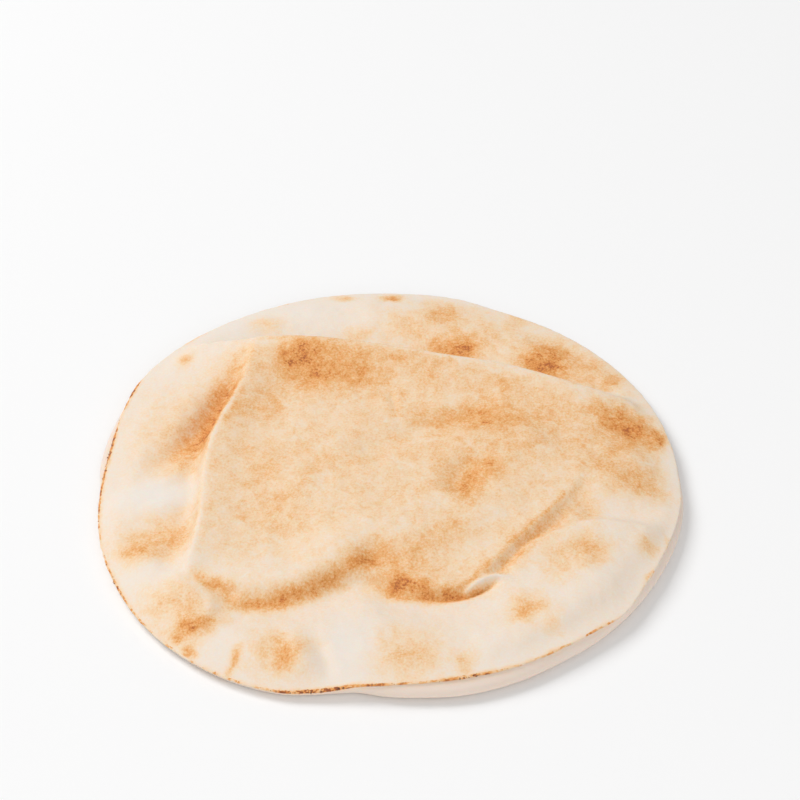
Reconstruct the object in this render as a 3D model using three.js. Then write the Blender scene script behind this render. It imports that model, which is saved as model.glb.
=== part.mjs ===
// A large, thin pocket flatbread, baked in two layers that meet at a scorched
// seam. The upper layer lies loose and slack over the lower one, so it has
// settled into folds. The bread rests on its flat bottom.
//
// Millimetres and degrees. +Z is up and -Y is the front of the bread. Bearings
// run from +X towards +Y.

import * as THREE from 'three';

// The edge, going round: bearing, radius of the seam, height of the seam, and
// how far the lower layer bulges out beyond the seam.
const EDGE = [
  [0, 120.8, 6.0, 1.6],
  [20, 121.5, 6.5, 1.6],
  [50, 121.7, 7.0, 1.5],
  [66, 121.5, 7.0, 1.5],
  [76, 124.0, 7.0, 1.5],
  [90, 124.5, 7.0, 1.5],
  [105, 126.0, 7.0, 1.2],
  [122, 127.0, 7.0, 1.0],
  [140, 128.0, 7.0, 0.8],
  [152, 127.0, 7.3, 0.8],
  [160, 124.3, 7.4, 2.2],
  [169, 121.8, 7.0, 3.9],
  [176, 121.2, 6.4, 3.8],
  [184, 122.0, 5.6, 1.2],
  [196, 124.4, 5.0, 0.4],
  [208, 126.3, 4.6, 0.3],
  [222, 128.2, 4.3, 0.2],
  [238, 128.2, 4.1, 0.1],
  [250, 126.0, 4.1, 0.0],
  [256, 122.8, 4.6, 0.0],
  [260, 120.6, 5.6, 0.0],
  [264, 118.9, 7.0, 0.6],
  [269, 118.1, 7.7, 2.8],
  [276, 118.0, 8.2, 4.2],
  [284, 118.4, 8.3, 5.2],
  [294, 119.2, 8.3, 4.4],
  [302, 119.4, 8.2, 3.5],
  [311, 120.3, 8.0, 2.8],
  [318, 121.9, 7.3, 1.0],
  [327, 120.4, 8.0, 2.4],
  [335, 119.9, 8.0, 3.0],
  [345, 120.6, 7.4, 2.8],
  [353, 121.2, 6.6, 2.0],
];

// The plain pillow that the folds are laid on.
const PILLOW_HEIGHT = 9.6;
const SHOULDER = 0.25; // share of the radius over which the top rises
const SHOULDER_POWER = 1.9;
const FOOT_IN = 7.0; // the flat bottom starts this far inside the seam

// The pinched seam between the layers.
const LIP_HEIGHT = 0.8;
const LIP_OUT = 0.6;
const LIP_RAGGED = 0.35;
const LIP_CELL = 3.0;
const LIP_TOP_OUT = 0.8; // share of the lip's reach at its upper corner
const LIP_TOP_DROP = 0.15;

// The lower layer's side: shares of the bulge and of the seam's height that
// set how full its curve is.
const BELLY_TOP_OUT = 1.5;
const BELLY_TOP_HEIGHT = 0.62;
const BELLY_FOOT_OUT = 1.3;

// Swellings: middle x and y, half sizes, turn, height, and how square they are.
const SWELLINGS = [
  { name: 'slack middle', at: [-4, 2], half: [80, 64], turn: -8, height: 15.2, square: 5 },
  { name: 'small lobe', at: [-88, -80], half: [17, 12], turn: 25, height: 11.0, square: 3 },
  { name: 'right lobe', at: [82, -64], half: [32, 19], turn: 40, height: 12.4, square: 3 },
  { name: 'front rim', at: [12, -99], half: [32, 13], turn: 4, height: 10.0, square: 3 },
  { name: 'front rim, left', at: [-46, -99], half: [24, 12], turn: -14, height: 9.8, square: 3 },
  { name: 'left rim', at: [-104, 30], half: [12, 26], turn: 10, height: 10.6, square: 3 },
  { name: 'back rim', at: [-20, 108], half: [70, 11], turn: -3, height: 9.8, square: 3 },
];

// Folds, laid on in this order. A route's points are x, y and the height that
// the skin is pulled to. The two widths are how far that pull reaches on the
// left and the right of the route, and the lean pushes a steep side outward.
const FOLDS = [
  {
    name: 'valley behind the crest',
    left: 12,
    right: 8,
    route: [[-88, 87, 9], [-40, 87, 7.5], [20, 77, 7.5], [60, 65, 8.3], [98, 51, 7.8]],
  },
  {
    name: 'valley left of the middle',
    left: 8,
    right: 7,
    route: [[-67, 61, 11], [-74, 46, 7.5], [-81, 31, 5.8], [-90, 14, 6.2], [-104, -2, 8.2]],
  },
  { name: 'valley in the left rim', left: 9, right: 8, route: [[-114, -42, 7], [-100, -38, 7.4], [-84, -36, 8]] },
  {
    name: 'foot of the left edge',
    left: 6,
    right: 6,
    route: [[-84, 8, 8.2], [-86, -14, 8.6], [-86, -36, 8], [-90, -54, 8.4]],
  },
  {
    name: 'valley in front of the middle',
    left: 6.5,
    right: 11,
    route: [
      [-70, -74, 9.8], [-60, -78, 8.2], [-37, -77, 7.4], [-20, -70, 7.6], [-8, -68, 7.8],
      [7, -76, 7.4], [26, -78, 7.6], [37, -75, 8.6],
    ],
  },
  {
    name: 'trough beside the right lobe',
    left: 11,
    right: 12,
    route: [[88, -8, 13.4], [81, -21, 12.4], [71, -34, 11], [60, -46, 10.2], [49, -57, 10], [40, -64, 10.4]],
  },
  {
    name: 'valley behind the right lobe',
    left: 6,
    right: 6,
    route: [[82, -28, 10.2], [98, -28, 9.4], [114, -26, 8.2]],
  },
  {
    name: 'dip across the middle',
    left: 9,
    right: 10,
    route: [[-8, 10, 13.6], [14, 20, 12.4], [34, 30, 12.6], [48, 38, 14.2]],
  },
  { name: 'dent in the middle', left: 7, right: 9, route: [[27, -14, 12.4], [30, -6, 12.6], [34, 5, 13.6]] },
  {
    name: 'crest across the back',
    left: 6,
    right: 16,
    lean: 2.5,
    route: [
      [-102, 80, 8.5], [-67, 75, 17], [-42, 73, 21], [-8, 68, 20.5], [28, 61, 18.7],
      [54, 55.5, 17.3], [85, 44, 15], [115, 38, 8],
    ],
  },
  {
    name: 'left edge of the middle',
    left: 12,
    right: 5.4,
    lean: 2.2,
    route: [
      [-58, 69, 19], [-63, 49, 18], [-72, 19, 17.8], [-75, -6, 16.8], [-75, -33, 15.6],
      [-77, -54, 14.8], [-78, -67, 13.6],
    ],
  },
  {
    name: 'hook round the small lobe',
    left: 3.5,
    right: 8,
    lean: 0.6,
    route: [[-81, -66, 12.2], [-75, -70, 12], [-71.5, -78, 11.4], [-74, -86, 10.2]],
  },
  {
    name: 'front edge of the middle',
    left: 13,
    right: 8,
    route: [[-66, -65, 12.8], [-50, -66.5, 14], [-35, -65, 15], [-20, -54, 16.4], [-6, -46, 17]],
  },
  { name: 'belly of the middle', left: 14, right: 15, route: [[-12, -47, 16.8], [7, -40, 16.4], [21, -29, 15.2]] },
  {
    name: 'nose above the crease',
    left: 9,
    right: 6,
    lean: 0.6,
    route: [[-6, -58, 12.2], [12, -66, 12.6], [26, -68, 11.8]],
  },
  {
    name: 'edge above the trough',
    left: 4.6,
    right: 14,
    lean: 0.8,
    route: [
      [78, -6, 13.8], [69.3, -21, 14.2], [58, -35, 14.3], [49, -46, 14.1], [38.6, -59, 13.4],
      [31, -68.6, 12],
    ],
  },
  {
    name: 'crest of the right lobe',
    left: 4.5,
    right: 15,
    lean: 1.6,
    route: [
      [47.5, -66, 11.4], [51.5, -60, 12.8], [60, -49.5, 14.2], [75.5, -41, 15],
      [88, -38.5, 14.6], [104, -39, 12.2], [118, -34, 8.4],
    ],
  },
  { name: 'swell beside the dip', left: 9, right: 9, route: [[12, 0, 15.4], [32, 10, 15.8], [56, 14, 15.8]] },
  { name: 'ridge before the lobe', left: 5, right: 8, route: [[38, -98, 10.2], [50, -92, 11], [64, -84, 11.4]] },
  { name: 'fold in the left rim', left: 7, right: 9, route: [[-117, -20, 8.4], [-104, -17, 10], [-90, -14, 10.6]] },
  {
    name: 'crease under the nose',
    left: 3,
    right: 3,
    route: [
      [2, -76, 8.4], [14, -75.6, 7.8], [25.6, -74.2, 7.4], [32.9, -71.8, 7.8],
      [37.6, -69.3, 8.6], [40.8, -67.4, 10.4],
    ],
  },
  {
    name: 'pinch beside the small lobe',
    left: 3.4,
    right: 3.6,
    route: [[-75, -68, 12], [-70, -71, 11], [-63.5, -75, 9.4]],
  },
  {
    name: 'curled lip',
    left: 3,
    right: 3,
    lean: 0.3,
    route: [
      [29, -71.4, 10.4], [32, -69.2, 11.8], [35, -67.4, 12.5], [39.4, -65.4, 12.9],
      [43.5, -65.3, 12.7], [48, -66.5, 12],
    ],
  },
];

// Wrinkles raise or lower what is already there by the third number.
const WRINKLES = [
  { name: 'line in the middle', left: 1.6, right: 1.6, route: [[-1, 47, -0.1], [1, 36, -0.45], [3, 22, -0.1]] },
  { name: 'crease in the front rim', left: 2.5, right: 4, route: [[-30, -92, -0.1], [-26, -104, -1.1], [-21, -119, -1]] },
  { name: 'ridge in the front rim', left: 5, right: 5, route: [[-38, -90, 0.2], [-35, -104, 1.2], [-31, -116, 0.6]] },
  { name: 'line by the right edge', left: 2, right: 3, route: [[92, 33, -0.1], [103, 34, -0.7], [114, 31, -0.6]] },
  { name: 'next line by it', left: 2, right: 3, route: [[84, 24, -0.1], [97, 24, -0.6], [112, 20, -0.4]] },
  { name: 'fold in the right lobe', left: 4, right: 6, route: [[62, -78, 0.1], [78, -76, 0.7], [92, -66, 0.2]] },
];

// Slow waves in the slack skin: size of a wave and its height.
const WAVES = [
  [34, 0.9],
  [17, 0.45],
  [8.5, 0.22],
];

// How far in from the seam, as a share of the radius, the folds reach full size.
const FOLD_FADE = 0.09;
const SWELLING_FADE = 0.16;

// Where the leaning sides start, and over how much more height they lean fully.
const LEAN_FROM = 9;
const LEAN_OVER = 5;

// How finely the skin is divided.
const RINGS = 32;
const WALL_ROWS = 6;
const ROUTE_STEPS = 40;

// How far pieces of a route share in the answer near the route, and how much
// further with distance from it.
const BLEND_REACH = 0.3;
const BLEND_GROWTH = 0.12;

const BAKED_CRUST = { color: 0xecc89a, roughness: 0.85, metalness: 0 };

const clamp = THREE.MathUtils.clamp;
const radians = THREE.MathUtils.degToRad;

// Value number `column` of the edge at a bearing, as a smooth closed curve.
function edgeValue(column, angle) {
  const bearing = THREE.MathUtils.euclideanModulo(THREE.MathUtils.radToDeg(angle), 360);
  const count = EDGE.length;
  const key = (i) => {
    const turns = Math.floor(i / count);
    const row = EDGE[i - turns * count];
    return [row[0] + 360 * turns, row[column]];
  };
  let i = count - 1;
  while (EDGE[i][0] > bearing) i -= 1;
  const [before, start, end, after] = [key(i - 1), key(i), key(i + 1), key(i + 2)];
  const span = end[0] - start[0];
  const t = (bearing - start[0]) / span;
  const slopeIn = ((end[1] - before[1]) / (end[0] - before[0])) * span;
  const slopeOut = ((after[1] - start[1]) / (after[0] - start[0])) * span;
  return (
    (2 * t ** 3 - 3 * t ** 2 + 1) * start[1] +
    (t ** 3 - 2 * t ** 2 + t) * slopeIn +
    (3 * t ** 2 - 2 * t ** 3) * end[1] +
    (t ** 3 - t ** 2) * slopeOut
  );
}

const seamRadius = (angle) => edgeValue(1, angle);
const seamHeight = (angle) => edgeValue(2, angle);
const bulge = (angle) => edgeValue(3, angle);

// Smooth noise from -1 to 1, with cells of size 1.
function noise(x, y) {
  const corner = (i, j) => {
    const s = Math.sin(i * 127.1 + j * 311.7) * 43758.5453;
    return s - Math.floor(s);
  };
  const [i, j] = [Math.floor(x), Math.floor(y)];
  const ease = (t) => t * t * t * (t * (t * 6 - 15) + 10);
  const [u, v] = [ease(x - i), ease(y - j)];
  const near = corner(i, j) * (1 - u) + corner(i + 1, j) * u;
  const far = corner(i, j + 1) * (1 - u) + corner(i + 1, j + 1) * u;
  return 2 * (near * (1 - v) + far * v) - 1;
}

// A fold's route as short straight pieces along a smooth curve.
function piecesOf(route) {
  const points = route.map(([x, y, h]) => new THREE.Vector3(x, y, h));
  const curve = new THREE.CatmullRomCurve3(points, false, 'catmullrom', 0.5);
  const stops = curve.getPoints(ROUTE_STEPS);
  return stops.slice(1).map((end, i) => {
    const start = stops[i];
    const along = end.clone().sub(start);
    return { start, along, length: Math.hypot(along.x, along.y) };
  });
}

// How strongly a fold pulls at a point, the height it pulls to, and the
// direction to its left. Nearby pieces of the route share in the answer, so
// the pull has no break inside a bend.
function pullOf(fold, x, y) {
  const near = fold.pieces.map(({ start, along, length }) => {
    const [dx, dy] = [x - start.x, y - start.y];
    const t = clamp((dx * along.x + dy * along.y) / length ** 2, 0, 1);
    const [ex, ey] = [dx - t * along.x, dy - t * along.y];
    const distance = Math.hypot(ex, ey);
    const side = (along.x * ey - along.y * ex) / length / (distance + 1e-6);
    return { distance, side, height: start.z + t * along.z, nx: -along.y / length, ny: along.x / length };
  });
  const closest = Math.min(...near.map((n) => n.distance));
  const pull = { side: 0, height: 0, nx: 0, ny: 0 };
  let total = 0;
  for (const n of near) {
    const share = Math.exp((closest - n.distance) / (BLEND_REACH + BLEND_GROWTH * closest));
    total += share;
    for (const key of Object.keys(pull)) pull[key] += share * n[key];
  }
  for (const key of Object.keys(pull)) pull[key] /= total;
  const width = fold.right + ((fold.left - fold.right) * (1 + pull.side)) / 2;
  return { ...pull, weight: Math.exp(-((closest / width) ** 2)) };
}

// The skin's place above a point of the plan.
function skinAt(x, y) {
  const angle = Math.atan2(y, x);
  const share = clamp(Math.hypot(x, y) / seamRadius(angle), 0, 1);
  const inward = 1 - share;
  const rise = 1 - (1 - clamp(inward / SHOULDER, 0, 1)) ** SHOULDER_POWER;
  const low = seamHeight(angle);
  let z = low + (PILLOW_HEIGHT - low) * rise;

  const swellingFade = THREE.MathUtils.smoothstep(inward, 0, SWELLING_FADE);
  for (const { at, half, turn, height, square } of SWELLINGS) {
    const [c, s] = [Math.cos(radians(turn)), Math.sin(radians(turn))];
    const u = ((x - at[0]) * c + (y - at[1]) * s) / half[0];
    const v = ((y - at[1]) * c - (x - at[0]) * s) / half[1];
    z += ((height - z) * swellingFade) / (1 + Math.hypot(u, v) ** square);
  }

  const fade = THREE.MathUtils.smoothstep(inward, 0, FOLD_FADE);
  WAVES.forEach(([size, height], i) => {
    z += fade * height * noise(x / size + 3.1 * (i + 1), y / size + 7.7);
  });

  let [shiftX, shiftY] = [0, 0];
  for (const fold of FOLDS) {
    const pull = pullOf(fold, x, y);
    const weight = pull.weight * fade;
    z += (pull.height - z) * weight;
    const lean = (fold.lean ?? 0) * clamp((pull.height - LEAN_FROM) / LEAN_OVER, 0, 1);
    const steepSide = fold.left < fold.right ? 1 : -1;
    shiftX += weight * lean * steepSide * pull.nx;
    shiftY += weight * lean * steepSide * pull.ny;
  }
  for (const wrinkle of WRINKLES) {
    const pull = pullOf(wrinkle, x, y);
    z += pull.height * pull.weight * fade;
  }
  return new THREE.Vector3(x + shiftX, y + shiftY, z);
}

// One section of the edge, from just under the seam's lip down to the foot.
function sideSection(angle) {
  const radius = seamRadius(angle);
  const height = seamHeight(angle);
  const out = bulge(angle);
  const ragged = 1 + LIP_RAGGED * noise((radius * angle) / LIP_CELL, 0.5);
  const lipOut = LIP_OUT * ragged;
  const lip = [
    new THREE.Vector2(radius + LIP_TOP_OUT * lipOut, height - LIP_TOP_DROP),
    new THREE.Vector2(radius + lipOut, height - LIP_HEIGHT / 2),
  ];
  const belly = new THREE.CubicBezierCurve(
    new THREE.Vector2(radius, height - LIP_HEIGHT),
    new THREE.Vector2(radius + BELLY_TOP_OUT * out, BELLY_TOP_HEIGHT * height),
    new THREE.Vector2(radius + BELLY_FOOT_OUT * out, 0),
    new THREE.Vector2(radius - FOOT_IN, 0),
  );
  return [...lip, ...belly.getPoints(WALL_ROWS)];
}

// The bread as one closed skin: rings of near-even triangles on top, the seam
// and the lower layer round the side, and a flat bottom.
function flatbreadGeometry() {
  const points = [skinAt(0, 0)];
  const faces = [];
  const ringStart = [0];
  for (let ring = 1; ring <= RINGS; ring += 1) {
    const count = 6 * ring;
    const innerCount = Math.max(count - 6, 1);
    ringStart.push(points.length);
    for (let i = 0; i < count; i += 1) {
      const angle = (2 * Math.PI * i) / count;
      const radius = (seamRadius(angle) * ring) / RINGS;
      points.push(skinAt(radius * Math.cos(angle), radius * Math.sin(angle)));
    }
    const [outer, inner] = [ringStart[ring], ringStart[ring - 1]];
    for (let sixth = 0; sixth < 6; sixth += 1) {
      for (let i = 0; i < ring; i += 1) {
        const a = outer + sixth * ring + i;
        const b = outer + ((sixth * ring + i + 1) % count);
        const c = inner + ((sixth * (ring - 1) + i) % innerCount);
        faces.push(a, b, c);
        if (i < ring - 1) faces.push(c, b, inner + ((sixth * (ring - 1) + i + 1) % innerCount));
      }
    }
  }

  const around = 6 * RINGS;
  const rim = ringStart[RINGS];
  const rowStart = points.length;
  const sections = [];
  for (let i = 0; i < around; i += 1) {
    const angle = (2 * Math.PI * i) / around;
    sections.push({ angle, profile: sideSection(angle) });
  }
  const rows = sections[0].profile.length;
  for (let row = 0; row < rows; row += 1) {
    for (const { angle, profile } of sections) {
      const { x: radius, y: height } = profile[row];
      points.push(new THREE.Vector3(radius * Math.cos(angle), radius * Math.sin(angle), height));
    }
    const above = row === 0 ? rim : rowStart + (row - 1) * around;
    const below = rowStart + row * around;
    for (let i = 0; i < around; i += 1) {
      const next = (i + 1) % around;
      faces.push(above + i, below + i, below + next);
      faces.push(above + i, below + next, above + next);
    }
  }

  const foot = rowStart + (rows - 1) * around;
  const middle = points.length;
  points.push(new THREE.Vector3(0, 0, 0));
  for (let i = 0; i < around; i += 1) faces.push(foot + i, middle, foot + ((i + 1) % around));

  const geometry = new THREE.BufferGeometry().setFromPoints(points);
  geometry.setIndex(faces);
  geometry.computeBoundingBox();
  const { x, y } = geometry.boundingBox.getCenter(new THREE.Vector3());
  geometry.translate(-x, -y, 0);
  geometry.computeVertexNormals();
  return geometry;
}

for (const fold of [...FOLDS, ...WRINKLES]) fold.pieces = piecesOf(fold.route);

const bread = new THREE.Mesh(flatbreadGeometry(), new THREE.MeshStandardMaterial(BAKED_CRUST));
bread.name = 'flatbread';

const part = new THREE.Group();
part.add(bread);

export default part;
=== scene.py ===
# %% [markdown]
# # A pocket flatbread
# A pocket flatbread is two thin layers of dough that puffed apart in the oven
# and then sank back on each other. The lower layer lies flat. The upper one is
# slack and has settled into folds. This script makes its finished look around
# the plain solid that gives its true size. All lengths are in millimetres
# until the points of a mesh are made, where they become Blender's metres.

# %% The frame
import math

import bpy
import numpy as np
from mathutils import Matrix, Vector


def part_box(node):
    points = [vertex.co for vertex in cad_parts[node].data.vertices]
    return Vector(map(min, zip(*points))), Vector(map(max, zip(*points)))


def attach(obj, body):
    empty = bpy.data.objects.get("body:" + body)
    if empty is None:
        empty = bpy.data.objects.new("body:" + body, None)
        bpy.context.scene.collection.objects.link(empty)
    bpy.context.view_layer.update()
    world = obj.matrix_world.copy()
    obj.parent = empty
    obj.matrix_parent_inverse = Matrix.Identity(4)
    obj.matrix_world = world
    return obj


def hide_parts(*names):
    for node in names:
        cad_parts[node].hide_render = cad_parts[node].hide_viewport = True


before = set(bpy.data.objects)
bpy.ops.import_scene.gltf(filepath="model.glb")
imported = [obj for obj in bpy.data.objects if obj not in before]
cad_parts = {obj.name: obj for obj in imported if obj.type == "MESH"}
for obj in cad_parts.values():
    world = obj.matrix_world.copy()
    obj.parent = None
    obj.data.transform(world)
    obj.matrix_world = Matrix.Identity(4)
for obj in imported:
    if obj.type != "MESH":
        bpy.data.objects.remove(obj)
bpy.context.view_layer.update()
MM = 0.001

# %% [markdown]
# ## Smooth steps and smooth noise
# Nothing on a bread is straight or even, so its places wander a little. Value
# noise does this: a random number at each corner of a grid, blended smoothly
# between corners. It has no seed to keep, because a sine turns the corner's
# own place into its number, so each run gives the same bread.

# %% Helpers
def smooth(t):
    """Goes smoothly from 0 to 1 as t goes from 0 to 1."""
    t = np.clip(t, 0, 1)
    return t * t * (3 - 2 * t)


def noise(x, y):
    """Smooth noise from -1 to 1, with cells of size 1."""
    def corner(i, j):
        wave = np.sin(i * 127.1 + j * 311.7) * 43758.5453
        return wave - np.floor(wave)

    i, j = np.floor(x), np.floor(y)
    u, v = x - i, y - j
    u, v = u**3 * (u * (u * 6 - 15) + 10), v**3 * (v * (v * 6 - 15) + 10)
    near = corner(i, j) * (1 - u) + corner(i + 1, j) * u
    far = corner(i, j + 1) * (1 - u) + corner(i + 1, j + 1) * u
    return 2 * (near * (1 - v) + far * v) - 1


print("noise at two places:", np.round(noise(np.array([0.5, 7.9]), np.array([0.1, 2.2])), 3))

# %% [markdown]
# ## The edge of the bread
# The two layers meet in a pinched seam that runs all the way round. It isn't a
# true circle: the dough was stretched by hand. A short table gives the seam's
# radius and height at some bearings, and how far the lower layer bulges out
# beyond it. A smooth closed curve through the table is simpler to tune than a
# drawn outline, and it can be asked for its value at any bearing.

# %% The edge table
EDGE = np.array([  # bearing, seam radius, seam height, bulge of the lower layer
    (0, 120.8, 6.0, 1.6), (20, 121.5, 6.5, 1.6), (50, 121.7, 7.0, 1.5), (66, 121.5, 7.0, 1.5),
    (76, 124.0, 7.0, 1.5), (90, 124.5, 7.0, 1.5), (105, 126.0, 7.0, 1.2), (122, 127.0, 7.0, 1.0),
    (140, 128.0, 7.0, 0.8), (152, 127.0, 7.3, 0.8), (160, 124.3, 7.4, 2.2), (169, 121.8, 7.0, 3.9),
    (176, 121.2, 6.4, 3.8), (184, 122.0, 5.6, 1.2), (196, 124.4, 5.0, 0.4), (208, 126.3, 4.6, 0.3),
    (222, 128.2, 4.3, 0.2), (238, 128.2, 4.1, 0.1), (250, 126.0, 4.1, 0.0), (256, 122.8, 4.6, 0.0),
    (260, 120.6, 5.6, 0.0), (264, 118.9, 7.0, 0.6), (269, 118.1, 7.7, 2.8), (276, 118.0, 8.2, 4.2),
    (284, 118.4, 8.3, 5.2), (294, 119.2, 8.3, 4.4), (302, 119.4, 8.2, 3.5), (311, 120.3, 8.0, 2.8),
    (318, 121.9, 7.3, 1.0), (327, 120.4, 8.0, 2.4), (335, 119.9, 8.0, 3.0), (345, 120.6, 7.4, 2.8),
    (353, 121.2, 6.6, 2.0),
])


def round_curve(table, angle):
    """Values between the rows of a table of (bearing, value, ...), as a smooth closed curve."""
    bearing = np.concatenate([table[:, 0] - 360, table[:, 0], table[:, 0] + 360])
    value = np.vstack([table[:, 1:]] * 3)
    x = np.mod(np.degrees(angle), 360)
    i = np.searchsorted(bearing, x, side="right") - 1
    span = bearing[i + 1] - bearing[i]
    t = ((x - bearing[i]) / span)[..., None]
    slope_in = (value[i + 1] - value[i - 1]) * (span / (bearing[i + 1] - bearing[i - 1]))[..., None]
    slope_out = (value[i + 2] - value[i]) * (span / (bearing[i + 2] - bearing[i]))[..., None]
    return (
        (2 * t**3 - 3 * t**2 + 1) * value[i] + (t**3 - 2 * t**2 + t) * slope_in
        + (3 * t**2 - 2 * t**3) * value[i + 1] + (t**3 - t**2) * slope_out
    )


def edge_at(angle):
    """Seam radius, seam height and bulge at each bearing, given in radians."""
    return np.moveaxis(round_curve(EDGE, angle), -1, 0)


quarter_turns = np.radians([0, 90, 180, 270])
print("seam radius at each quarter turn:", np.round(edge_at(quarter_turns)[0], 1))

# %% [markdown]
# ## The folds
# The slack layer shows a crest across the back, a long edge down the left, a
# lobe at the right that curls into a small lip, and valleys between them. Cloth
# simulation could crumple a sheet, but not into these folds. So each fold is a
# named route with a few points of (x, y, height). It pulls the skin to its
# height, strongly on the route and less with distance, and each side has a
# width of its own: a small width makes a steep side.

# %% Fold tables
SWELLINGS = [  # middle x, y, half sizes, turn, height, how square it is
    ("slack middle", -4, 2, 80, 64, -8, 15.2, 5),
    ("small lobe", -88, -80, 17, 12, 25, 11.0, 3),
    ("right lobe", 82, -64, 32, 19, 40, 12.4, 3),
    ("front rim", 12, -99, 32, 13, 4, 10.0, 3),
    ("front rim, left", -46, -99, 24, 12, -14, 9.8, 3),
    ("left rim", -104, 30, 12, 26, 10, 10.6, 3),
    ("back rim", -20, 108, 70, 11, -3, 9.8, 3),
]
FOLDS = [  # name, width on the left and on the right of the route, lean, route
    ("valley behind the crest", 12, 8, 0,
     [(-88, 87, 9), (-40, 87, 7.5), (20, 77, 7.5), (60, 65, 8.3), (98, 51, 7.8)]),
    ("valley left of the middle", 8, 7, 0,
     [(-67, 61, 11), (-74, 46, 7.5), (-81, 31, 5.8), (-90, 14, 6.2), (-104, -2, 8.2)]),
    ("valley in the left rim", 9, 8, 0, [(-114, -42, 7.0), (-100, -38, 7.4), (-84, -36, 8.0)]),
    ("foot of the left edge", 6, 6, 0, [(-84, 8, 8.2), (-86, -14, 8.6), (-86, -36, 8.0), (-90, -54, 8.4)]),
    ("valley in front of the middle", 6.5, 11, 0,
     [(-70, -74, 9.8), (-60, -78, 8.2), (-37, -77, 7.4), (-20, -70, 7.6),
      (-8, -68, 7.8), (7, -76, 7.4), (26, -78, 7.6), (37, -75, 8.6)]),
    ("trough beside the right lobe", 11, 12, 0,
     [(88, -8, 13.4), (81, -21, 12.4), (71, -34, 11.0), (60, -46, 10.2), (49, -57, 10.0), (40, -64, 10.4)]),
    ("valley behind the right lobe", 6, 6, 0, [(82, -28, 10.2), (98, -28, 9.4), (114, -26, 8.2)]),
    ("dip across the middle", 9, 10, 0, [(-8, 10, 13.6), (14, 20, 12.4), (34, 30, 12.6), (48, 38, 14.2)]),
    ("dent in the middle", 7, 9, 0, [(27, -14, 12.4), (30, -6, 12.6), (34, 5, 13.6)]),
    ("crest across the back", 6, 16, 2.5,
     [(-102, 80, 8.5), (-67, 75, 17), (-42, 73, 21), (-8, 68, 20.5),
      (28, 61, 18.7), (54, 55.5, 17.3), (85, 44, 15), (115, 38, 8)]),
    ("left edge of the middle", 12, 4.8, 2.2,
     [(-58, 69, 19), (-63, 49, 18), (-72, 19, 17.8), (-75, -6, 16.8),
      (-75, -33, 15.6), (-77, -54, 14.8), (-78, -67, 13.6)]),
    ("hook round the small lobe", 3.5, 8, 0.6,
     [(-81, -66, 12.2), (-75, -70, 12.0), (-71.5, -78, 11.4), (-74, -86, 10.2)]),
    ("front edge of the middle", 13, 8, 0,
     [(-66, -65, 12.8), (-50, -66.5, 14.0), (-35, -65, 15.0), (-20, -54, 16.4), (-6, -46, 17.0)]),
    ("belly of the middle", 14, 15, 0, [(-12, -47, 16.8), (7, -40, 16.4), (21, -29, 15.2)]),
    ("nose above the crease", 9, 6, 0.6, [(-6, -58, 12.2), (12, -66, 12.6), (26, -68, 11.8)]),
    ("edge above the trough", 3.4, 14, 0.8,
     [(78, -6, 13.8), (69.3, -21, 14.2), (58, -35, 14.3),
      (49, -46, 14.1), (38.6, -59, 13.4), (31, -68.6, 12.0)]),
    ("crest of the right lobe", 4.5, 15, 1.6,
     [(47.5, -66, 11.4), (51.5, -60, 12.8), (60, -49.5, 14.2), (75.5, -41, 15.0),
      (88, -38.5, 14.6), (104, -39, 12.2), (118, -34, 8.4)]),
    ("swell beside the dip", 9, 9, 0, [(12, 0, 15.4), (32, 10, 15.8), (56, 14, 15.8)]),
    ("ridge before the lobe", 5, 8, 0, [(38, -98, 10.2), (50, -92, 11.0), (64, -84, 11.4)]),
    ("fold in the left rim", 7, 9, 0, [(-117, -20, 8.4), (-104, -17, 10.0), (-90, -14, 10.6)]),
    ("crease under the nose", 2.2, 2.6, 0,
     [(2, -76, 8.4), (14, -75.6, 7.8), (25.6, -74.2, 7.4),
      (32.9, -71.8, 7.8), (37.6, -69.3, 8.6), (40.8, -67.4, 10.4)]),
    ("pinch beside the small lobe", 3.4, 3.6, 0, [(-75, -68, 12.0), (-70, -71, 11.0), (-63.5, -75, 9.4)]),
    ("curled lip", 1.7, 1.6, 0.3,
     [(29, -71.4, 10.4), (32, -69.2, 11.8), (35, -67.4, 12.5),
      (39.4, -65.4, 12.9), (43.5, -65.3, 12.7), (48, -66.5, 12.0)]),
]
WRINKLES = [  # like folds, but the third number raises or lowers what is there
    ("line in the middle", 1.6, 1.6, [(-1, 47, -0.1), (1, 36, -0.45), (3, 22, -0.1)]),
    ("crease in the front rim", 2.5, 4, [(-30, -92, -0.1), (-26, -104, -1.1), (-21, -119, -1.0)]),
    ("ridge in the front rim", 5, 5, [(-38, -90, 0.2), (-35, -104, 1.2), (-31, -116, 0.6)]),
    ("line by the right edge", 2, 3, [(92, 33, -0.1), (103, 34, -0.7), (114, 31, -0.6)]),
    ("next line by it", 2, 3, [(84, 24, -0.1), (97, 24, -0.6), (112, 20, -0.4)]),
    ("fold in the right lobe", 4, 6, [(62, -78, 0.1), (78, -76, 0.7), (92, -66, 0.2)]),
]
print(len(SWELLINGS), "swellings,", len(FOLDS), "folds and", len(WRINKLES), "wrinkles")

# %% [markdown]
# ## How a fold pulls
# A cardinal spline runs smoothly through the route's points. For each point
# of the skin, the nearest stretch of that curve gives the distance, the side
# and the height. Inside a bend two stretches are almost equally near, and a
# sudden switch would crease the skin. So all stretches share in the answer,
# the nearest one most.

# %% Pull of a fold
ROUTE_STEPS = 40
BLEND_REACH = 0.3
BLEND_GROWTH = 0.12


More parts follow.
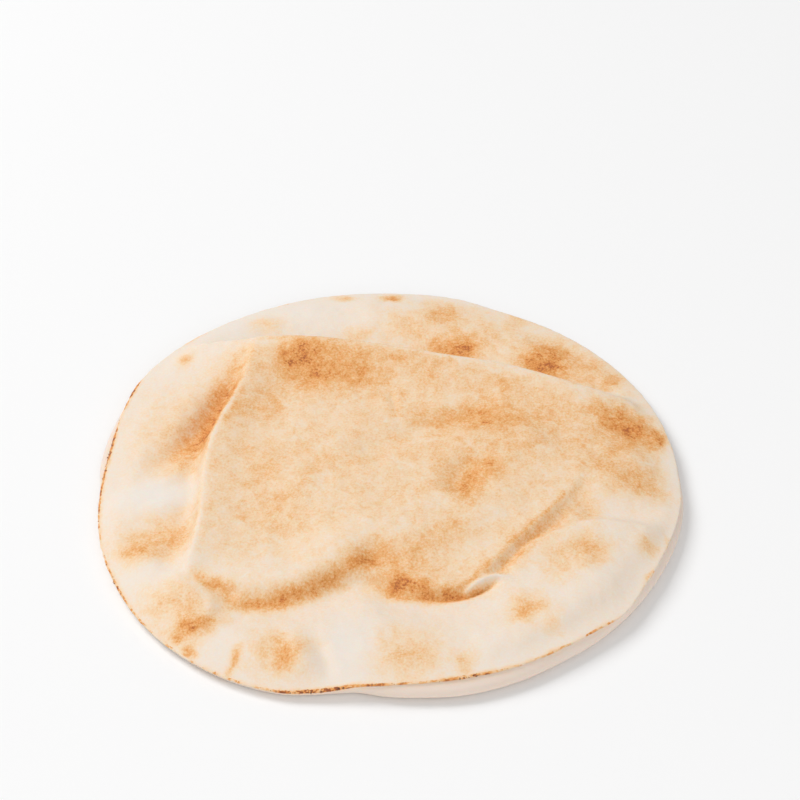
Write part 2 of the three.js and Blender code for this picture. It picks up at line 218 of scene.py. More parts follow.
def smooth_route(route):
    """Points along a smooth curve through the route."""
    knots = np.array(route, float)
    knots = np.vstack([2 * knots[0] - knots[1], knots, 2 * knots[-1] - knots[-2]])
    place = np.linspace(0, len(route) - 1, ROUTE_STEPS + 1)
    i = np.minimum(place.astype(int), len(route) - 2) + 1
    t = (place - (i - 1))[:, None]
    return 0.5 * (
        2 * knots[i] + (knots[i + 1] - knots[i - 1]) * t
        + (2 * knots[i - 1] - 5 * knots[i] + 4 * knots[i + 1] - knots[i + 2]) * t**2
        + (3 * knots[i] - knots[i - 1] - 3 * knots[i + 1] + knots[i + 2]) * t**3
    )


def pull_of(route, left, right, x, y):
    """Weight, height and the direction to the left of a fold, at many points of the plan."""
    stops = smooth_route(route)
    start, along = stops[:-1], np.diff(stops, axis=0)
    length = np.hypot(along[:, 0], along[:, 1])
    dx, dy = x[:, None] - start[:, 0], y[:, None] - start[:, 1]
    t = np.clip((dx * along[:, 0] + dy * along[:, 1]) / length**2, 0, 1)
    ex, ey = dx - t * along[:, 0], dy - t * along[:, 1]
    distance = np.hypot(ex, ey)
    closest = distance.min(axis=1, keepdims=True)
    share = np.exp((closest - distance) / (BLEND_REACH + BLEND_GROWTH * closest))
    share /= share.sum(axis=1, keepdims=True)
    side = (share * (along[:, 0] * ey - along[:, 1] * ex) / length / (distance + 1e-6)).sum(axis=1)
    height = (share * (start[:, 2] + t * along[:, 2])).sum(axis=1)
    normal = (share @ (-along[:, 1] / length), share @ (along[:, 0] / length))
    width = right + (left - right) * (1 + side) / 2
    return np.exp(-(closest[:, 0] / width) ** 2), height, normal


print("a route of", len(FOLDS[0][4]), "points becomes", len(smooth_route(FOLDS[0][4])))

# %% [markdown]
# ## The slack skin
# First comes a plain pillow, then the swellings, slow waves, and the folds in
# order, so that a late fold cuts through an early one. Everything fades out
# just inside the seam, which keeps the outline clean. Last come the puckers
# that run in from the seam and the fine wrinkles of dried skin. Those are real
# relief and not only shading, so that they also show at the edge of the bread.

# %% Skin of the upper layer
PILLOW_HEIGHT = 9.6
SHOULDER = 0.25
SHOULDER_POWER = 1.9
SWELLING_FADE = 0.16
FOLD_FADE = 0.09
WAVES = ((34, 0.9), (17, 0.45), (8.5, 0.22))
LEAN_FROM = 9
LEAN_OVER = 5
PUCKER_HEIGHT = 0.3
PUCKER_BEARING = 7
PUCKERS_END = 0.28
PUCKERS_FADE = 0.2
RIM_WRINKLE_HEIGHT = 0.4
RIM_WRINKLE_BEARING = 3.1
RIM_WRINKLE_MIDDLE = 187
RIM_WRINKLE_SPREAD = 14
RIM_WRINKLES_END = 0.38
RIM_WRINKLES_FADE = 0.12
FINE_WAVES = ((4.4, 0.12), (2.6, 0.07))


def skin_at(x, y):
    """The skin's x, y and z above points of the plan."""
    angle = np.arctan2(y, x)
    seam_radius, seam_height, _ = edge_at(angle)
    inward = 1 - np.clip(np.hypot(x, y) / seam_radius, 0, 1)
    rise = 1 - (1 - np.clip(inward / SHOULDER, 0, 1)) ** SHOULDER_POWER
    z = seam_height + (PILLOW_HEIGHT - seam_height) * rise
    for _, middle_x, middle_y, half_x, half_y, turn, height, square in SWELLINGS:
        c, s = math.cos(math.radians(turn)), math.sin(math.radians(turn))
        u = ((x - middle_x) * c + (y - middle_y) * s) / half_x
        v = ((y - middle_y) * c - (x - middle_x) * s) / half_y
        z += (height - z) * smooth(inward / SWELLING_FADE) / (1 + np.hypot(u, v) ** square)
    fade = smooth(inward / FOLD_FADE)
    for i, (size, height) in enumerate(WAVES):
        z += fade * height * noise(x / size + 3.1 * (i + 1), y / size + 7.7)

    shift_x, shift_y = np.zeros_like(x), np.zeros_like(y)
    for _, left, right, lean, route in FOLDS:
        weight, height, normal = pull_of(route, left, right, x, y)
        weight *= fade
        z += (height - z) * weight
        outward = weight * lean * np.clip((height - LEAN_FROM) / LEAN_OVER, 0, 1)
        outward *= 1 if left < right else -1
        shift_x += outward * normal[0]
        shift_y += outward * normal[1]
    for _, left, right, route in WRINKLES:
        weight, height, _ = pull_of(route, left, right, x, y)
        z += height * weight * fade

    bearing = np.mod(np.degrees(angle), 360)
    puckers = noise(bearing / PUCKER_BEARING + 3, (1 - inward) * 5)
    z += PUCKER_HEIGHT * puckers * smooth((PUCKERS_END - inward) / PUCKERS_FADE) * fade
    near_left = np.exp(-((bearing - RIM_WRINKLE_MIDDLE) / RIM_WRINKLE_SPREAD) ** 2)
    wrinkles = noise(bearing / RIM_WRINKLE_BEARING + x / 40, (1 - inward) * 3 + 5)
    near_rim = smooth((RIM_WRINKLES_END - inward) / RIM_WRINKLES_FADE)
    z += RIM_WRINKLE_HEIGHT * wrinkles * near_left * near_rim * fade
    for size, height in FINE_WAVES:
        z += fade * height * noise(x / size + 1.3, y / size + 8.1)
    return np.stack([x + shift_x, y + shift_y, z], axis=1)


print("height in the very middle:", round(float(skin_at(np.zeros(1), np.zeros(1))[0, 2]), 1), "mm")

# %% [markdown]
# ## Points and faces
# A round mesh of quads has a crowded middle and long thin faces near its edge.
# Here each ring has six more points than the one inside it, so the triangles
# stay nearly even from the middle to the seam, and a fold is as crisp in one
# place as in another.

# %% Rings of the top
RINGS = 150


def disc_rings(rings):
    """Share of the radius and angle of each point, and the triangles between the rings."""
    share, angle, faces = [np.zeros(1)], [np.zeros(1)], []
    start = [0, 1]
    for ring in range(1, rings + 1):
        count, inner_count = 6 * ring, max(6 * (ring - 1), 1)
        share.append(np.full(count, ring / rings))
        angle.append(2 * np.pi * np.arange(count) / count)
        sixth, i = np.divmod(np.arange(count), ring)
        a = start[ring] + np.arange(count)
        b = start[ring] + (np.arange(count) + 1) % count
        c = start[ring - 1] + (sixth * (ring - 1) + i) % inner_count
        d = start[ring - 1] + (sixth * (ring - 1) + i + 1) % inner_count
        faces.append(np.stack([a, b, c], axis=1))
        inner = i < ring - 1
        faces.append(np.stack([c, b, d], axis=1)[inner])
        start.append(start[ring] + count)
    return np.concatenate(share), np.concatenate(angle), np.vstack(faces)


share, angle, top_faces = disc_rings(RINGS)
radius = share * edge_at(angle)[0]
plan_x, plan_y = radius * np.cos(angle), radius * np.sin(angle)
top_points = skin_at(plan_x, plan_y)
AROUND = 6 * RINGS
print(len(top_points), "points on top; highest fold", round(float(top_points[:, 2].max()), 1), "mm")

# %% [markdown]
# ## The seam and the lower layer
# At the seam the dough was pressed into a thin ragged lip. Below it the lower
# layer bulges out and then turns under to the flat bottom. That section is a
# Bezier curve, worked out at every bearing from the edge table. The underside
# isn't dead flat: hot stone leaves shallow hollows between the places where
# the dough touched it.

# %% Sides and underside
LIP_HEIGHT = 0.8
LIP_OUT = 0.6
LIP_RAGGED = 0.35
LIP_CELL = 3.0
LIP_FINE_SHARE = 0.6
LIP_FINE_CELL = 1.1
LIP_TOP_OUT = 0.8
LIP_TOP_DROP = 0.15
BELLY_TOP_OUT = 1.5
BELLY_TOP_HEIGHT = 0.62
BELLY_FOOT_OUT = 1.3
FOOT_IN = 7.0
WALL_ROWS = 12
UNDERSIDE_SHARES = (0.985, 0.96, 0.92, 0.87, 0.8, 0.71, 0.61, 0.5, 0.38, 0.25, 0.12)
HOLLOW_DEPTH = 0.5
HOLLOW_SIZE = 19.0

around = 2 * np.pi * np.arange(AROUND) / AROUND
seam_radius, seam_height, bulge = edge_at(around)
ragged = 1 + LIP_RAGGED * noise(seam_radius * around / LIP_CELL, np.full(AROUND, 0.5))
ragged += LIP_FINE_SHARE * LIP_RAGGED * noise(seam_radius * around / LIP_FINE_CELL, np.full(AROUND, 4.5))
lip_out = LIP_OUT * ragged
belly = (
    (seam_radius, seam_height - LIP_HEIGHT),
    (seam_radius + BELLY_TOP_OUT * bulge, BELLY_TOP_HEIGHT * seam_height),
    (seam_radius + BELLY_FOOT_OUT * bulge, np.zeros(AROUND)),
    (seam_radius - FOOT_IN, np.zeros(AROUND)),
)
rows = [
    (seam_radius + LIP_TOP_OUT * lip_out, seam_height - LIP_TOP_DROP),
    (seam_radius + lip_out, seam_height - LIP_HEIGHT / 2),
]
for t in np.linspace(0, 1, WALL_ROWS + 1):
    weights = ((1 - t) ** 3, 3 * t * (1 - t) ** 2, 3 * t**2 * (1 - t), t**3)
    rows.append(tuple(sum(w * p[k] for w, p in zip(weights, belly)) for k in range(2)))
side_rows = len(rows)
for row_share in UNDERSIDE_SHARES:
    row_radius = row_share * (seam_radius - FOOT_IN)
    across, along = row_radius * np.cos(around) / HOLLOW_SIZE, row_radius * np.sin(around) / HOLLOW_SIZE
    hollow = 0.5 + 0.5 * noise(across, along)
    rows.append((row_radius, HOLLOW_DEPTH * smooth((1 - row_share) / 0.1) * hollow))
print(side_rows, "rows down the side and", len(rows) - side_rows, "across the underside")

# %% [markdown]
# ## One closed skin
# The rows are joined to the top's last ring, and the underside closes in one
# middle point. One closed mesh with faces that point outwards is what a real
# bread's surface is, and it prints, bakes and casts shadows without leaks. The
# finished skin is moved so that its plan is centred where the solid's is.

# %% The bread's mesh
def ring_strip(above, below):
    """Triangles between two rings of points, given by their first indices."""
    here = np.arange(AROUND)
    after = (here + 1) % AROUND
    return np.vstack([
        np.stack([above + here, below + here, below + after], axis=1),
        np.stack([above + here, below + after, above + after], axis=1),
    ])


points, faces = [top_points], [top_faces]
ring_start = len(top_points) - AROUND
for row_radius, row_height in rows:
    next_start = sum(len(p) for p in points)
    points.append(np.stack([row_radius * np.cos(around), row_radius * np.sin(around), row_height], axis=1))
    faces.append(ring_strip(ring_start, next_start))
    ring_start = next_start
middle = ring_start + AROUND
points.append(np.array([[0, 0, HOLLOW_DEPTH / 2]]))
here = np.arange(AROUND)
faces.append(np.stack([ring_start + here, np.full(AROUND, middle), ring_start + (here + 1) % AROUND], axis=1))
bread_points, bread_faces = np.vstack(points), np.vstack(faces)

low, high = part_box("flatbread")
plan_low, plan_high = bread_points[:, :2].min(axis=0), bread_points[:, :2].max(axis=0)
to_solid = np.array([(low.x + high.x) / 2, (low.y + high.y) / 2]) / MM - (plan_low + plan_high) / 2
bread_points[:, :2] += to_solid

bread_mesh = bpy.data.meshes.new("bread")
bread_mesh.from_pydata((bread_points * MM).tolist(), [], bread_faces.tolist())
bread_mesh.shade_smooth()
bread = bpy.data.objects.new("bread", bread_mesh)
bpy.context.collection.objects.link(bread)
print("the bread has", len(bread_faces), "triangles and was moved by", np.round(to_solid, 2), "mm")

# %% [markdown]
# ## Where the oven toasted it, with painted shade and highlights
# The colour of a flatbread says where the hot air and the stone reached it:
# the puffed middle is tan all over, high spots are brown, and the rim and the
# creases stay floury white. Each blotch below is an ellipse with a level from
# 0, white, to 1, dark brown. Painting them by hand would be the usual way, but
# a table keeps the script free of image files. The ellipses are bent by noise
# and broken up by coarse and fine mottling, so that none of them looks like
# one. Slopes and sharp edges are darker or paler along their whole length,
# so those are stripes along a route, as the folds are. Not all of the level
# is toast: some stripes and blotches are painted shade on slopes and in
# creases that face away from the light, and the pale edges are painted
# highlights along ridge tops.

# %% Toast tables
BLOTCHES = [  # middle x, y, half sizes, turn, toast level
    # the slack middle
    (-4, 0, 84, 66, -8, 0.36), (-60, -8, 22, 54, -4, 0.34), (-12, 56, 42, 15, -8, 0.54),
    (-40, 62.5, 12, 11, 0, 0.84), (-36, 54, 11, 9, 0, 0.7), (-16, 55, 11, 7, -20, 0.68),
    (-27, 60, 8, 6, 0, 0.6), (6, 55, 14, 7, -10, 0.5), (-46, 49, 6, 9, 30, 0.5),
    (-52, 38, 8, 14, -10, 0.54), (-58, 20, 8, 16, 0, 0.42), (46, 46, 20, 8, -12, 0.46),
    (40, 2, 6, 6, 0, 0.46), (-48, -30, 17, 20, 0, 0.42), (-5, 22, 20, 12, 10, 0.33),
    (53, -12, 11, 15, -20, 0.34), (22, -45, 14, 9, 30, 0.46), (-44, -63, 22, 3.6, -2, 0.2),
    (-8, -20, 22, 11, 20, 0.34), (64, 30, 20, 15, -8, 0.47), (8, 46, 20, 5, 5, 0.36),
    (-45, 8, 14, 12, 0, 0.34), (50, 8, 30, 24, 0, 0.4), (24, 28, 12, 6.5, 6, 0.56),
    (41, 29, 12, 7.5, 4, 0.72), (52, 25, 9, 7, 20, 0.58), (36, -5, 8, 8, 20, 0.56),
    (30, -15, 9, 11, 14, 0.7),
    # the front slope and its nose: toast, and darker as painted shade where the slope faces away from the
    # light
    (4, -58, 22, 8, -12, 0.56), (6, -69.5, 13, 5.5, -6, 0.84), (7, -71, 6, 4, 0, 0.9),
    (24, -71, 12, 3.5, 5, 0.5),
    # the back rim
    (-61, 103, 38, 12, 10, 0.03), (30, 94, 34, 18, -10, 0.35), (74, 74, 34, 16, -34, 0.43),
    (-57, 99, 9, 8, 0, 0.32), (-23, 120, 5, 2.6, 0, 0.56), (0, 119, 6, 3.4, 0, 0.66),
    (-15, 91, 6, 5, 0, 0.36), (9, 97, 11, 9, 0, 0.38), (22, 106, 10, 9, 0, 0.54),
    (22, 83, 10, 7, 0, 0.62), (31, 82, 10, 7, 0, 0.76), (58, 104, 6, 7, 0, 0.46),
    (71, 72, 13, 14, 0, 0.76), (69, 70, 8, 7, 0, 0.86), (86, 66, 15, 10, -30, 0.5),
    (98, 61, 4, 4, 0, 0.7),
    # the left rim
    (-93, 71, 4, 5, 0, 0.45), (-95, 31, 16, 22, -14, 0.31), (-98, -16, 19, 9, 5, 0.0),
    (-95, -41, 20, 12, 8, 0.46), (-103, -47, 8, 5, 10, 0.56), (-96, -64, 14, 6, 10, 0.04),
    (-84, -77, 18, 12, 0, 0.36), (-77, -89.5, 9.5, 6.5, 12, 0.64), (-81, -91, 4, 3.5, 0, 0.7),
    (-82.5, -94, 2, 3, 0, 0.72), (-78, -100, 2.5, 3, 0, 0.62),
    # the front rim
    (-63, -98, 6, 7, 0, 0.04), (-43, -103, 16, 14, 0, 0.31), (-40, -104, 6.5, 6, 0, 0.66),
    (-16, -103, 10, 18, 0, 0.02), (7, -104, 13, 13, 0, 0.42), (29, -109, 4, 6, 0, 0.4),
    # the right side and its lobe
    (89, 15, 28, 22, -10, 0.46), (105, 25.5, 16, 8.5, -22, 0.77), (96, 29, 8, 6, 0, 0.6),
    (115, 22, 4, 5, 0, 0.68), (102, -9, 16, 10, -16, 0.48), (120, 2, 3, 21, 0, 0.08),
    # The blotch at (102, -27) is painted shade: it greys a white band on the right where it lies in shadow.
    (102, -27, 18, 6, 0, 0.15), (76, -27, 9, 12, 20, 0.42), (79, -52.5, 9, 8, 0, 0.55),
    (68, -60, 8, 7, 0, 0.34), (104, -47, 4, 5, 0, 0.4), (113, -44, 1.6, 6, 25, 0.4),
    (104, -61, 1.6, 6, -30, 0.4), (53, -82, 8, 7, 20, 0.48), (62, -89, 7, 6, 0, 0.24),
]
STRIPES = [  # name, width on the left and on the right, route of (x, y, toast level)
    # Brown valley left of the middle: partly toast and partly painted shade, darker where the left edge
    # overhangs the valley.
    ("brown valley left of the middle", 9, 8.5,
     [(-68, 62, 0.46), (-70.8, 50, 0.74), (-74.4, 34, 0.88), (-80, 20, 0.8), (-90.5, 5, 0.46)]),
    # Slope in front of the middle: partly toast and partly painted shade on the slope that faces away from
    # the light.
    ("slope in front of the middle", 4.2, 4.0,
     [(-62.6, -77.2, 0.5), (-51, -77.8, 0.74), (-43, -76, 0.78), (-32, -71.6, 0.74),
      (-21, -64, 0.64), (-11, -58, 0.66), (0, -58, 0.56)]),
    # Trough floor, the lobe's shadowed side and the line along the trough's edge: partly toast and partly
    # painted shade on the trough's wall and floor, which face away from the light.
    ("tan floor of the trough", 6, 9,
     [(78, -18, 0.38), (69, -31, 0.42), (60, -42, 0.46), (51, -51, 0.46), (42, -60, 0.44), (37, -64, 0.3)]),
    ("shadowed side of the lobe", 3.0, 3.0, [(48, -60, 0.4), (51.5, -54.5, 0.66), (56, -50, 0.5)]),
    ("line along the trough", 0.7, 1.0,
     [(70.5, -19, 0.56), (69, -21.5, 0.64), (58, -35, 0.54),
      (49, -46, 0.54), (38.6, -59, 0.56), (31, -68, 0.6)]),
    # Wedge beside the lip and line under the nose: painted shade in the crease and undercut beneath the
    # curled lip, over some toast.
    ("wedge beside the lip", 1.6, 1.8, [(29.5, -69.2, 0.5), (32.5, -65.6, 0.72), (36, -61.5, 0.5)]),
    ("line under the nose", 2.4, 1.2,
     [(5, -73.5, 0.6), (14, -74.2, 0.66), (25.6, -73.8, 0.78),
      (32.9, -71.6, 0.9), (37.6, -69.2, 0.78), (40.8, -67.2, 0.6)]),
    # Pale lip and pale edges: painted highlights along the tops of the lip and of the ridges, where they face
    # the light.
    ("pale lip", 1.4, 1.5,
     [(29.2, -71.2, 0.22), (32, -69.2, 0.16), (35, -67.6, 0.12),
      (39.4, -65.8, 0.12), (43.5, -65.6, 0.12), (48, -67, 0.14)]),
    ("pale edge at the left", 1.1, 1.1,
     [(-61, 52, 0.3), (-66, 38, 0.24), (-72.6, 16, 0.2), (-75.6, -6, 0.18), (-75.6, -33, 0.18),
      (-77.4, -54, 0.16), (-78.4, -66, 0.2)]),
    ("pale edge at the back", 1.2, 1.2,
     [(-60, 73, 0.3), (-42, 73, 0.5), (-8, 68, 0.3), (28, 61, 0.2), (54, 55.5, 0.25), (80, 46, 0.3)]),
    # Pinch beside the small lobe: painted shade in the shadowed crescent between the small lobe and the
    # middle, with some toast.
    ("pinch beside the small lobe", 3.4, 3.2, [(-75, -66.5, 0.44), (-70, -69.4, 0.7), (-64.5, -71.5, 0.5)]),
    ("pale hook", 1.4, 1.4, [(-77.5, -68.5, 0.26), (-73.5, -74, 0.26), (-72, -80, 0.26), (-75, -84, 0.28)]),
    ("arc in the front rim", 1.7, 1.7, [(-58.5, -100, 0.4), (-60, -105.5, 0.66), (-62, -110, 0.5)]),
]
RIM_TOAST = 0.08
BEND_SIZES = ((9, 1.3), (3.4, 0.9))
STRIPE_BEND = 0.3
BLOTCH_POWER = 2.3
MOTTLES = ((19, 0.05), (8, 0.06), (3.6, 0.1), (1.9, 0.1))
MOTTLE_FLOOR = 0.3
MOTTLE_FULL_FROM = 0.25


def toast_and_painted_light_at(x, y):
    """How toasted the skin is above points of the plan, from 0 to 1, with painted shade and painted
    highlights mixed into the level.
    """
    straight_x, straight_y = x, y
    for size, reach in BEND_SIZES:
        x, y = x + reach * noise(x / size + 5, y / size), y + reach * noise(x / size, y / size + 9)
    toast_and_painted_light = np.full(x.shape, RIM_TOAST)
    for middle_x, middle_y, half_x, half_y, turn, level in BLOTCHES:
        c, s = math.cos(math.radians(turn)), math.sin(math.radians(turn))
        u = ((x - middle_x) * c + (y - middle_y) * s) / half_x
        v = ((y - middle_y) * c - (x - middle_x) * s) / half_y
        toast_and_painted_light += (level - toast_and_painted_light) * np.exp(-np.hypot(u, v) ** BLOTCH_POWER)
    stripe_x = straight_x + STRIPE_BEND * (x - straight_x)
    stripe_y = straight_y + STRIPE_BEND * (y - straight_y)
    for _, left, right, route in STRIPES:
        weight, level, _ = pull_of(route, left, right, stripe_x, stripe_y)
        toast_and_painted_light += (level - toast_and_painted_light) * weight
    for size, strength in MOTTLES:
        uneven = noise(x / size + 2.7, y / size + 6.1) * smooth(toast_and_painted_light / MOTTLE_FULL_FROM)
        toast_and_painted_light += strength * uneven * (MOTTLE_FLOOR + toast_and_painted_light)
    return np.clip(toast_and_painted_light, 0, 1)


top_toast_and_painted_light = toast_and_painted_light_at(plan_x, plan_y)
print(len(BLOTCHES), "blotches and", len(STRIPES), "stripes; mean level", round(float(top_toast_and_painted_light.mean()), 2))

# %% [markdown]
# ## The scorched seam
# The seam is thin and sticks out, so it burns first: a fine broken brown line
# all the way round, with a tan blush beside it, darker in some places. A second
# closed curve says how much, so the line and the crags on it follow the same
# places. The line is thinner than the mesh is fine, so the mesh only keeps how
# far each point is from the seam, and the material draws the line from that.

# %% Scorch round the seam
SCORCH = np.array([  # bearing, how scorched
    (0, 0.08), (20, 0.1), (45, 0.1), (60, 0.12), (80, 0.1), (105, 0.1), (130, 0.12), (136, 0.4),
    (142, 0.14), (149, 0.25), (153, 0.78), (158, 0.78), (164, 0.45), (168, 0.8), (175, 0.9),
    (180, 0.75), (187, 0.7), (194, 0.55), (203, 0.55), (209, 0.72), (215, 0.6), (224, 0.42), (235, 0.4),
    (245, 0.52), (250, 0.72), (253.5, 0.95), (256, 1.0), (259, 1.0), (262.5, 1.0), (265, 0.75),
    (270, 0.62), (278, 0.6), (282, 0.88), (287, 0.82), (291, 0.6), (297, 0.45), (302, 0.6), (307, 0.3),
    (311, 0.5), (316, 0.4), (320, 0.1), (328, 0.3), (332, 0.1), (338, 0.3), (343, 0.08),
])
FAR_FROM_SEAM = 9.0


def scorch_round(angle):
    """How scorched the seam is at each bearing."""
    return np.clip(round_curve(SCORCH, angle)[..., 0], 0, 1)


bread_toast_and_painted_light = np.zeros(len(bread_points))
bread_toast_and_painted_light[:len(top_toast_and_painted_light)] = top_toast_and_painted_light
seam_gap = np.full(len(bread_points), FAR_FROM_SEAM)
seam_scorch = np.zeros(len(bread_points))
seam_gap[:len(top_toast_and_painted_light)] = np.minimum((1 - share) * edge_at(angle)[0], FAR_FROM_SEAM)
seam_scorch[:len(top_toast_and_painted_light)] = scorch_round(angle)
row_start = len(top_toast_and_painted_light)
lip_row = rows[1]
for row_radius, row_height in rows[:side_rows]:
    below_lip = np.hypot(row_radius - lip_row[0], row_height - lip_row[1]) * (row_start > len(top_toast_and_painted_light))
    seam_gap[row_start:row_start + AROUND] = np.minimum(below_lip, FAR_FROM_SEAM)
    seam_scorch[row_start:row_start + AROUND] = scorch_round(around)
    row_start += AROUND


def store(mesh, name, values):
    """Keeps one number for each point of a mesh under a name that a material can read."""
    layer = mesh.attributes.new(name, "FLOAT", "POINT")
    layer.data.foreach_set("value", values.astype(np.float32))


store(bread_mesh, "toast_and_painted_light", bread_toast_and_painted_light)
store(bread_mesh, "gap", seam_gap)
store(bread_mesh, "scorch", seam_scorch)
print("points within a millimetre of the seam:", int((seam_gap < 1).sum()))

# %% [markdown]
# ## Colours of baked dough
# One shader group turns a toast level into a colour, because the upper crust
# and the lower crust brown in the same way. Fine speckle is
# added to the level before it becomes a colour. Speckling the level instead of
# the colour keeps white flour clean and makes brown places grainy, as a real
# crust is.

# %% Shader helpers
def linear(red, green, blue):
    """A colour as seen on a screen, from 0 to 255, as Blender's linear values."""
    values = [c / 255 for c in (red, green, blue)]
    return tuple(c / 12.92 if c <= 0.04045 else ((c + 0.055) / 1.055) ** 2.4 for c in values) + (1.0,)


def new_group(name, inputs, outputs):
    """A shader node group with named sockets: (kind, name, default) in, (kind, name) out."""
    group = bpy.data.node_groups.new(name, "ShaderNodeTree")
    for kind, label, default in inputs:
        socket = group.interface.new_socket(label, in_out="INPUT", socket_type="NodeSocket" + kind)
        socket.default_value = default
    for kind, label in outputs:
        group.interface.new_socket(label, in_out="OUTPUT", socket_type="NodeSocket" + kind)
    return group, group.nodes.new("NodeGroupInput"), group.nodes.new("NodeGroupOutput")


def wire(tree, node, inputs):
    """Fills a node's inputs: a socket is linked, anything else is set."""
    for key, value in inputs.items():
        if isinstance(value, bpy.types.NodeSocket):
            tree.links.new(value, node.inputs[key])
        else:
            node.inputs[key].default_value = value
    return node


def maths(tree, operation, *values, clamp=False):
    """One Math node. Returns its output."""
    node = tree.nodes.new("ShaderNodeMath")
    node.operation = operation
    node.use_clamp = clamp
    return wire(tree, node, dict(enumerate(values))).outputs[0]


def grain(tree, coordinates, size_mm, detail=2.0, roughness=0.5):
    """Noise with features of about this size in millimetres. Returns its value from 0 to 1."""
    node = wire(tree, tree.nodes.new("ShaderNodeTexNoise"), {
        "Vector": coordinates, "Scale": 1 / (size_mm * MM), "Detail": detail, "Roughness": roughness,
    })
    return node.outputs["Fac"]


print("cream in linear light:", [round(c, 3) for c in linear(243, 229, 211)])

# %% Shader group: baked colour
BAKED_COLOURS = (  # toast level and the colour seen there
    (0.00, (235, 226, 216)),
    (0.14, (238, 220, 200)),
    (0.30, (240, 210, 174)),
    (0.46, (237, 193, 144)),
    (0.62, (232, 171, 106)),
    (0.78, (220, 146, 72)),
    (0.90, (200, 119, 56)),
    (1.00, (150, 82, 42)),
)
DARKEST_TOAST = 0.96

baked, baked_in, baked_out = new_group(
    "Baked colour",
    [("Float", "Toast", 0.3), ("Float", "Speckle", 0.3), ("Float", "Mottle", 0.1), ("Float", "Seam", 0.0)],
    [("Color", "Colour"), ("Float", "Toast level")],
)
place = baked.nodes.new("ShaderNodeTexCoord").outputs["Object"]
fine = maths(baked, "SUBTRACT", grain(baked, place, 1.0, detail=3, roughness=0.7), 0.5)
coarse = maths(baked, "SUBTRACT", grain(baked, place, 7.0, detail=2), 0.5)
toast_in = baked_in.outputs["Toast"]
speckle = maths(baked, "MULTIPLY", maths(baked, "MULTIPLY", fine, baked_in.outputs["Speckle"]),
                maths(baked, "POWER", toast_in, 0.6))
mottle = maths(baked, "MULTIPLY", maths(baked, "MULTIPLY", coarse, baked_in.outputs["Mottle"]),
               maths(baked, "ADD", toast_in, 0.25))
level = maths(baked, "ADD", maths(baked, "ADD", toast_in, speckle), mottle, clamp=True)
level = maths(baked, "MINIMUM", level, DARKEST_TOAST)
level = maths(baked, "MAXIMUM", level, baked_in.outputs["Seam"])
ramp = baked.nodes.new("ShaderNodeValToRGB")
for i, (stop, colour) in enumerate(BAKED_COLOURS):
    element = ramp.color_ramp.elements[i] if i < 2 else ramp.color_ramp.elements.new(stop)
    element.position = stop
    element.color = linear(*colour)
wire(baked, ramp, {"Fac": level})
wire(baked, baked_out, {"Colour": ramp.outputs["Color"], "Toast level": level})
print("baked colour group:", len(baked.nodes), "nodes")

# %% [markdown]
# ## The scorched line
# Both crusts meet at the seam, so both need the line, and it is a group as
# well. It takes the distance to the seam and the scorch kept on the mesh. A
# blush fades out over a few millimetres, a line up to a millimetre wide lies on
# the seam itself, and noise of several sizes breaks it into dashes and dots.

# %% Shader group: seam line
BLUSH_WIDTH = 2.6
LINE_EDGE = 0.3

seam_line, line_in, line_out = new_group(
    "Seam line", [("Float", "Gap", 9.0), ("Float", "Scorch", 0.5)], [("Float", "Level")],
)
place = seam_line.nodes.new("ShaderNodeTexCoord").outputs["Object"]
gap, scorch = line_in.outputs["Gap"], line_in.outputs["Scorch"]
line_width = maths(seam_line, "MULTIPLY_ADD", maths(seam_line, "POWER", scorch, 3.0), 0.8, 0.2)
inner_gap = maths(seam_line, "SUBTRACT", gap, 0.6)
ragged_gap = maths(seam_line, "MULTIPLY_ADD", grain(seam_line, place, 1.0), 1.2, inner_gap)
line = maths(seam_line, "SUBTRACT", line_width, ragged_gap)
line = maths(seam_line, "DIVIDE", line, LINE_EDGE, clamp=True)
dashes = maths(seam_line, "MULTIPLY_ADD", grain(seam_line, place, 4.0), 5.0, -3.0)
dashes = maths(seam_line, "MULTIPLY_ADD", scorch, 1.7, dashes, clamp=True)
dots = maths(seam_line, "MULTIPLY_ADD", grain(seam_line, place, 1.7, detail=1), 8.0, -4.1)
dots = maths(seam_line, "MULTIPLY_ADD", scorch, 0.5, dots, clamp=True)
blush = maths(seam_line, "SUBTRACT", 1.0, maths(seam_line, "DIVIDE", gap, BLUSH_WIDTH), clamp=True)
patchy_scorch = maths(seam_line, "MULTIPLY", scorch, grain(seam_line, place, 3.0))
blush = maths(seam_line, "MULTIPLY", blush, patchy_scorch)
dashes = maths(seam_line, "MULTIPLY_ADD", dashes, 0.6, 0.12)
browned = maths(seam_line, "MULTIPLY", line, dashes)
charred = maths(seam_line, "MULTIPLY", line, maths(seam_line, "MULTIPLY", dots, scorch))
browned = maths(seam_line, "MULTIPLY_ADD", charred, 0.4, browned)
wire(seam_line, line_out, {"Level": maths(seam_line, "MAXIMUM", browned, blush, clamp=True)})
print("seam line group:", len(seam_line.nodes), "nodes")

# %% [markdown]
# ## Relief finer than the mesh
# Close up, a crust has shallow pores, tiny blisters and a papery drawn skin.
# They are a few tenths of a millimetre wide, too fine for the mesh, so they
# are a bump. It is a group too, since every crust on the bread needs it.

